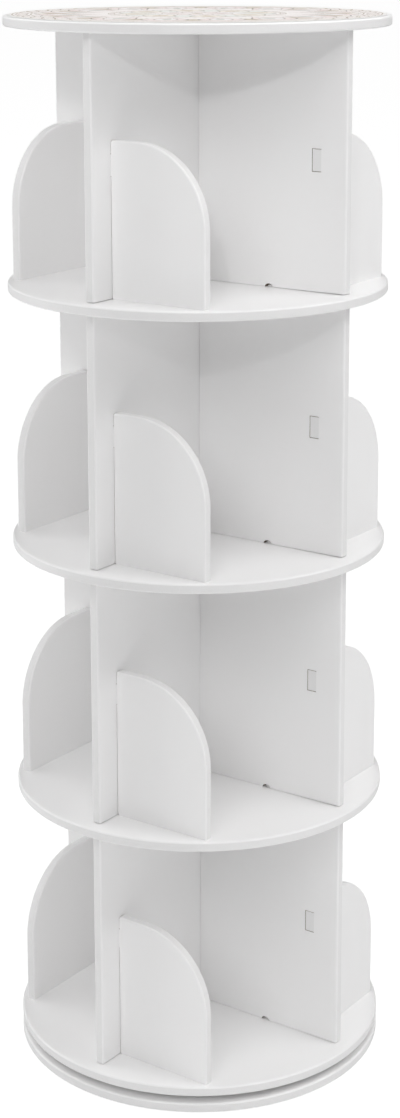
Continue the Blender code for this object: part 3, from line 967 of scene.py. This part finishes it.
# A round sheet of PVC film stuck on the top board, a little smaller than the board. It is printed
# with a pale rosette, laminated matt and cut out with a plain margin round the print.
FILM_RADIUS = 0.224
FILM_BOTTOM = TOP_BOTTOM + BOARD + HAIRLINE
FILM_THICKNESS = 0.0004
FILM_EDGE = 0.002
PETAL_BELLY = 1.5
PLAIT_WAVES = 24
PLAIT_CIRCLE = 0.2075
PLAIT_SWING = 0.007
STRAND_WIDTH = 0.0022

film = start_from(
    bpy.ops.mesh.primitive_cylinder_add,
    vertices=BOARD_FACETS,
    radius=FILM_RADIUS,
    depth=FILM_THICKNESS,
    location=(0, 0, FILM_BOTTOM + FILM_THICKNESS / 2),
)
pick(film, "EDGE", lambda edge: all(v.co.z > FILM_BOTTOM + FILM_THICKNESS / 2 for v in edge.verts))
bpy.ops.mesh.bevel(offset=FILM_THICKNESS / 2, segments=2, profile=0.5, affect="EDGES")
pick(film, "FACE", lambda face: face.normal.z > FACING)
bpy.ops.mesh.inset(thickness=FILM_EDGE)
bpy.ops.object.mode_set(mode="OBJECT")
bpy.ops.object.shade_smooth_by_angle(angle=SMOOTH)

# Printed and laminated PVC: soft pastel inks on an ivory ground that clouds a little over 50 mm,
# matt, with the faint grain of the laminate, drawn at 1.5 mm because its real 0.3 mm would not show
printed_film = bpy.data.materials.new("printed_matt_pvc_film")
printed_film.use_nodes = True
film_shader = printed_film.node_tree.nodes["Principled BSDF"]
film_place = add_node(printed_film, "ShaderNodeTexCoord")
film_parts = add_node(printed_film, "ShaderNodeSeparateXYZ", {"Vector": film_place.outputs["Object"]})
film_flat = add_node(
    printed_film,
    "ShaderNodeCombineXYZ",
    {"X": film_parts.outputs["X"], "Y": film_parts.outputs["Y"]},
)
film_reach = add_node(printed_film, "ShaderNodeVectorMath", {0: film_flat.outputs[0]}, operation="LENGTH")
film_turn = add_node(
    printed_film,
    "ShaderNodeMath",
    {0: film_parts.outputs["Y"], 1: film_parts.outputs["X"]},
    operation="ARCTAN2",
)
reach = film_reach.outputs["Value"]
turn = film_turn.outputs["Value"]
film_cloud = add_node(
    printed_film,
    "ShaderNodeTexNoise",
    {"Vector": film_place.outputs["Object"], "Scale": 1 / 0.05, "Detail": 3.0},
)
film_ground = add_node(
    printed_film,
    "ShaderNodeMix",
    {0: film_cloud.outputs["Fac"], 6: linear("#f6f1ee"), 7: linear("#fdf9f8")},
    data_type="RGBA",
)
print_colour = film_ground.outputs[2]

# Petals, drawn one over the other: how many, turned by what part of a step, from and to which
# radius, how much of a half step they fill, and the ink
for count, step, inner, outer, fill, ink in (
    (16, 0.5, 0.138, 0.1940, 0.480, "#8d8580"),
    (16, 0.5, 0.140, 0.1926, 0.445, "#f5f0ea"),
    (16, 0.5, 0.150, 0.1840, 0.200, "#cdc2b1"),
    (16, 0.0, 0.108, 0.1940, 0.430, "#8d8580"),
    (16, 0.0, 0.110, 0.1926, 0.395, "#f3e8e5"),
    (16, 0.0, 0.120, 0.1800, 0.225, "#a39c97"),
    (16, 0.0, 0.122, 0.1784, 0.195, "#faf8f7"),
    (16, 0.0, 0.132, 0.1640, 0.090, "#c4c6be"),
    (8, 0.5, 0.044, 0.0960, 0.480, "#8d8580"),
    (8, 0.5, 0.046, 0.0946, 0.445, "#eff0ec"),
    (8, 0.0, 0.042, 0.0960, 0.370, "#8f8475"),
    (8, 0.0, 0.044, 0.0946, 0.330, "#f7f1e8"),
    (8, 0.0, 0.054, 0.0860, 0.140, "#d6cab8"),
    (12, 0.0, 0.008, 0.0400, 0.460, "#a2968f"),
    (12, 0.0, 0.009, 0.0388, 0.380, "#f3e9e6"),
):
    sector = add_node(
        printed_film,
        "ShaderNodeMath",
        {0: turn, 1: count / (2 * math.pi), 2: step},
        operation="MULTIPLY_ADD",
    )
    fold = add_node(printed_film, "ShaderNodeMath", {0: sector.outputs[0], 1: 0.5}, operation="PINGPONG")
    length = add_node(
        printed_film,
        "ShaderNodeMapRange",
        {"Value": reach, "From Min": inner, "From Max": outer},
    )
    belly = add_node(
        printed_film,
        "ShaderNodeMath",
        {0: length.outputs[0], 1: PETAL_BELLY},
        operation="POWER",
    )
    swing = add_node(
        printed_film,
        "ShaderNodeMath",
        {0: belly.outputs[0], 1: math.pi},
        operation="MULTIPLY",
    )
    swell = add_node(printed_film, "ShaderNodeMath", {0: swing.outputs[0]}, operation="SINE")
    half = add_node(printed_film, "ShaderNodeMath", {0: swell.outputs[0], 1: fill}, operation="MULTIPLY")
    petal = add_node(
        printed_film,
        "ShaderNodeMath",
        {0: half.outputs[0], 1: fold.outputs[0]},
        operation="GREATER_THAN",
    )
    inked = add_node(
        printed_film,
        "ShaderNodeMix",
        {0: petal.outputs[0], 6: print_colour, 7: linear(ink)},
        data_type="RGBA",
    )
    print_colour = inked.outputs[2]

# The two strands of a plait in the border: where on its wave each starts, and its ink
for phase, ink in ((0, "#aea493"), (math.pi, "#b2a19b")):
    wave = add_node(
        printed_film,
        "ShaderNodeMath",
        {0: turn, 1: PLAIT_WAVES, 2: phase},
        operation="MULTIPLY_ADD",
    )
    swing = add_node(printed_film, "ShaderNodeMath", {0: wave.outputs[0]}, operation="SINE")
    strand = add_node(
        printed_film,
        "ShaderNodeMath",
        {0: swing.outputs[0], 1: PLAIT_SWING, 2: PLAIT_CIRCLE},
        operation="MULTIPLY_ADD",
    )
    on_strand = add_node(
        printed_film,
        "ShaderNodeMath",
        {0: reach, 1: strand.outputs[0], 2: STRAND_WIDTH / 2},
        operation="COMPARE",
    )
    inked = add_node(
        printed_film,
        "ShaderNodeMix",
        {0: on_strand.outputs[0], 6: print_colour, 7: linear(ink)},
        data_type="RGBA",
    )
    print_colour = inked.outputs[2]

# Circles that part the rings: radius, width and ink
for radius, width, ink in (
    (0.1965, 0.0014, "#b5ab9b"),
    (0.2185, 0.0014, "#b5ab9b"),
    (0.2225, 0.0045, "#f6f5f3"),
    (0.1050, 0.0012, "#b5ab9b"),
    (0.0985, 0.0012, "#b5ab9b"),
    (0.0420, 0.0012, "#a8a29c"),
):
    on_circle = add_node(
        printed_film,
        "ShaderNodeMath",
        {0: reach, 1: radius, 2: width / 2},
        operation="COMPARE",
    )
    inked = add_node(
        printed_film,
        "ShaderNodeMix",
        {0: on_circle.outputs[0], 6: print_colour, 7: linear(ink)},
        data_type="RGBA",
    )
    print_colour = inked.outputs[2]

# Dots on a circle: how many, the circle's radius, the dot's radius and the ink
for count, radius, dot, ink in (
    (2 * PLAIT_WAVES, PLAIT_CIRCLE, 0.0026, "#bdb09b"),
    (64, 0.1018, 0.0019, "#bcaaa4"),
    (1, 0.0, 0.0065, "#bdb09b"),
):
    sector = add_node(
        printed_film,
        "ShaderNodeMath",
        {0: turn, 1: count / (2 * math.pi)},
        operation="MULTIPLY",
    )
    fold = add_node(printed_film, "ShaderNodeMath", {0: sector.outputs[0], 1: 0.5}, operation="PINGPONG")
    aside = add_node(
        printed_film,
        "ShaderNodeMath",
        {0: fold.outputs[0], 1: 2 * math.pi * radius / count},
        operation="MULTIPLY",
    )
    away = add_node(printed_film, "ShaderNodeMath", {0: reach, 1: radius}, operation="SUBTRACT")
    offset = add_node(printed_film, "ShaderNodeCombineXYZ", {"X": aside.outputs[0], "Y": away.outputs[0]})
    distance = add_node(printed_film, "ShaderNodeVectorMath", {0: offset.outputs[0]}, operation="LENGTH")
    spot = add_node(
        printed_film,
        "ShaderNodeMath",
        {0: distance.outputs["Value"], 1: dot},
        operation="LESS_THAN",
    )
    inked = add_node(
        printed_film,
        "ShaderNodeMix",
        {0: spot.outputs[0], 6: print_colour, 7: linear(ink)},
        data_type="RGBA",
    )
    print_colour = inked.outputs[2]

film_grain = add_node(
    printed_film,
    "ShaderNodeTexNoise",
    {"Vector": film_place.outputs["Object"], "Scale": 1 / 0.0015, "Detail": 2.0},
)
film_sheen = add_node(
    printed_film,
    "ShaderNodeMapRange",
    {"Value": film_grain.outputs["Fac"], "To Min": 0.42, "To Max": 0.58},
)
film_bump = add_node(
    printed_film,
    "ShaderNodeBump",
    {"Height": film_grain.outputs["Fac"], "Strength": 0.2, "Distance": 0.00005},
)
printed_film.node_tree.links.new(print_colour, film_shader.inputs["Base Color"])
printed_film.node_tree.links.new(film_sheen.outputs[0], film_shader.inputs["Roughness"])
printed_film.node_tree.links.new(film_bump.outputs["Normal"], film_shader.inputs["Normal"])
film_shader.inputs["IOR"].default_value = 1.53
film.data.materials.append(printed_film)
film.name = film.data.name = "printed_film_disc"
hand_over(film, "carousel", "top_print")


# Studio

# A white floor that runs out of sight, softboxes all round, a spot on the top tier, two low fill
# lights and a faint even surround. The camera stands where the photograph was taken from, a little
# above the top board.
CAMERA_PLACE = (1.4869, -2.0963, 1.4120)
CAMERA_AZIMUTH = math.radians(35.298)
CAMERA_PITCH = math.radians(12.181)
CAMERA_ROLL = math.radians(-0.126)
KEY_CONE = math.radians(15)
FLOOR_SIZE = 120
FLOOR_GLOW = 1.2
FLOOR_GLOW_SHARE = 0.8
SURROUND_LEVEL = 0.15

camera = bpy.data.objects.new("camera", bpy.data.cameras.new("camera"))
bpy.context.scene.collection.objects.link(camera)
camera.matrix_world = (
    Matrix.Translation(CAMERA_PLACE)
    @ Matrix.Rotation(CAMERA_AZIMUTH, 4, "Z")
    @ Matrix.Rotation(math.pi / 2 - CAMERA_PITCH, 4, "X")
    @ Matrix.Rotation(CAMERA_ROLL, 4, "Z")
)
camera.data.sensor_width = 36
camera.data.lens = 69.03
camera.data.shift_y = -0.160
camera.data.clip_end = 200
bpy.context.scene.camera = camera
bpy.context.scene.view_settings.view_transform = "Standard"

# Each lamp: the height it aims at on the bookcase's axis, its turn from the camera's side and its
# rise as seen from there, its distance and size in metres, and its power in watts
for name, kind, aim_height, lamp_turn, lamp_rise, distance, size, watts in (
    ("key_spot", "SPOT", 1.25, -7, 21.3, 3.8, 0.18, 56),
    ("softbox_front", "AREA", 0.75, -15, 40, 10.0, 6.7, 321),
    ("softbox_right", "AREA", 0.75, 60, 50, 3.0, 2.0, 20.4),
    ("softbox_far_right", "AREA", 0.75, 85, 40, 10.0, 6.7, 240),
    ("softbox_left", "AREA", 0.75, -90, 40, 10.0, 6.7, 143),
    ("softbox_left_behind", "AREA", 0.75, -125, 30, 3.0, 2.0, 21.5),
    ("softbox_right_behind", "AREA", 0.75, 125, 30, 3.0, 2.0, 12.2),
    ("softbox_above", "AREA", 1.3, 0, 85, 1.0, 0.4, 2.5),
    ("low_fill", "AREA", 0.3, 30, -4.4, 1.3, 0.65, 1.16),
    ("low_fill_left", "AREA", 0.5, -100, -3.4, 2.5, 0.6, 8.5),
):
    lamp = bpy.data.objects.new(name, bpy.data.lights.new(name, kind))
    bpy.context.scene.collection.objects.link(lamp)
    lamp.data.energy = watts
    lamp.visible_camera = False
    if kind == "SPOT":
        lamp.data.shadow_soft_size = size / 2
        lamp.data.spot_size = KEY_CONE
        lamp.data.spot_blend = 1.0
    else:
        lamp.data.size = size
    lamp.matrix_world = (
        Matrix.Translation((0, 0, aim_height))
        @ Matrix.Rotation(CAMERA_AZIMUTH + math.radians(lamp_turn), 4, "Z")
        @ Matrix.Rotation(math.radians(90 - lamp_rise), 4, "X")
        @ Matrix.Translation((0, 0, distance))
    )

bpy.ops.object.select_all(action="DESELECT")
bpy.ops.mesh.primitive_plane_add(size=FLOOR_SIZE)
floor = bpy.context.object
floor.name = "studio_floor"
floor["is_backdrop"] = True

# Matt white floor paint: even and dull. What the camera sees of it glows, so that it comes out as
# white as the photograph's ground and keeps no more than a hint of the shadow.
floor_paint = bpy.data.materials.new("matt_white_floor_paint")
floor_paint.use_nodes = True
floor_shader = floor_paint.node_tree.nodes["Principled BSDF"]
floor_shader.inputs["Base Color"].default_value = linear("#f6f6f6")
floor_shader.inputs["Roughness"].default_value = 0.9
floor_ray = add_node(floor_paint, "ShaderNodeLightPath")
floor_share = add_node(
    floor_paint,
    "ShaderNodeMath",
    {0: floor_ray.outputs["Is Camera Ray"], 1: FLOOR_GLOW_SHARE},
    operation="MULTIPLY",
)
floor_glow = add_node(floor_paint, "ShaderNodeEmission", {"Color": (1, 1, 1, 1), "Strength": FLOOR_GLOW})
floor_mix = add_node(
    floor_paint,
    "ShaderNodeMixShader",
    {0: floor_share.outputs[0], 1: floor_shader.outputs[0], 2: floor_glow.outputs[0]},
)
floor_paint.node_tree.links.new(
    floor_mix.outputs[0], floor_paint.node_tree.nodes["Material Output"].inputs["Surface"]
)
floor.data.materials.append(floor_paint)

# The surround is white where the camera sees it and only faint as a light
surround = bpy.data.worlds.new("studio_surround")
surround.use_nodes = True
surround_ray = add_node(surround, "ShaderNodeLightPath")
surround_level = add_node(
    surround,
    "ShaderNodeMapRange",
    {"Value": surround_ray.outputs["Is Camera Ray"], "To Min": SURROUND_LEVEL, "To Max": 1.0},
)
surround_shader = surround.node_tree.nodes["Background"]
surround_shader.inputs["Color"].default_value = (1, 1, 1, 1)
surround.node_tree.links.new(surround_level.outputs[0], surround_shader.inputs["Strength"])
bpy.context.scene.world = surround


# Size

# The box of the dressed bookcase, leaving out the floor and hidden pieces.
low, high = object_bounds()
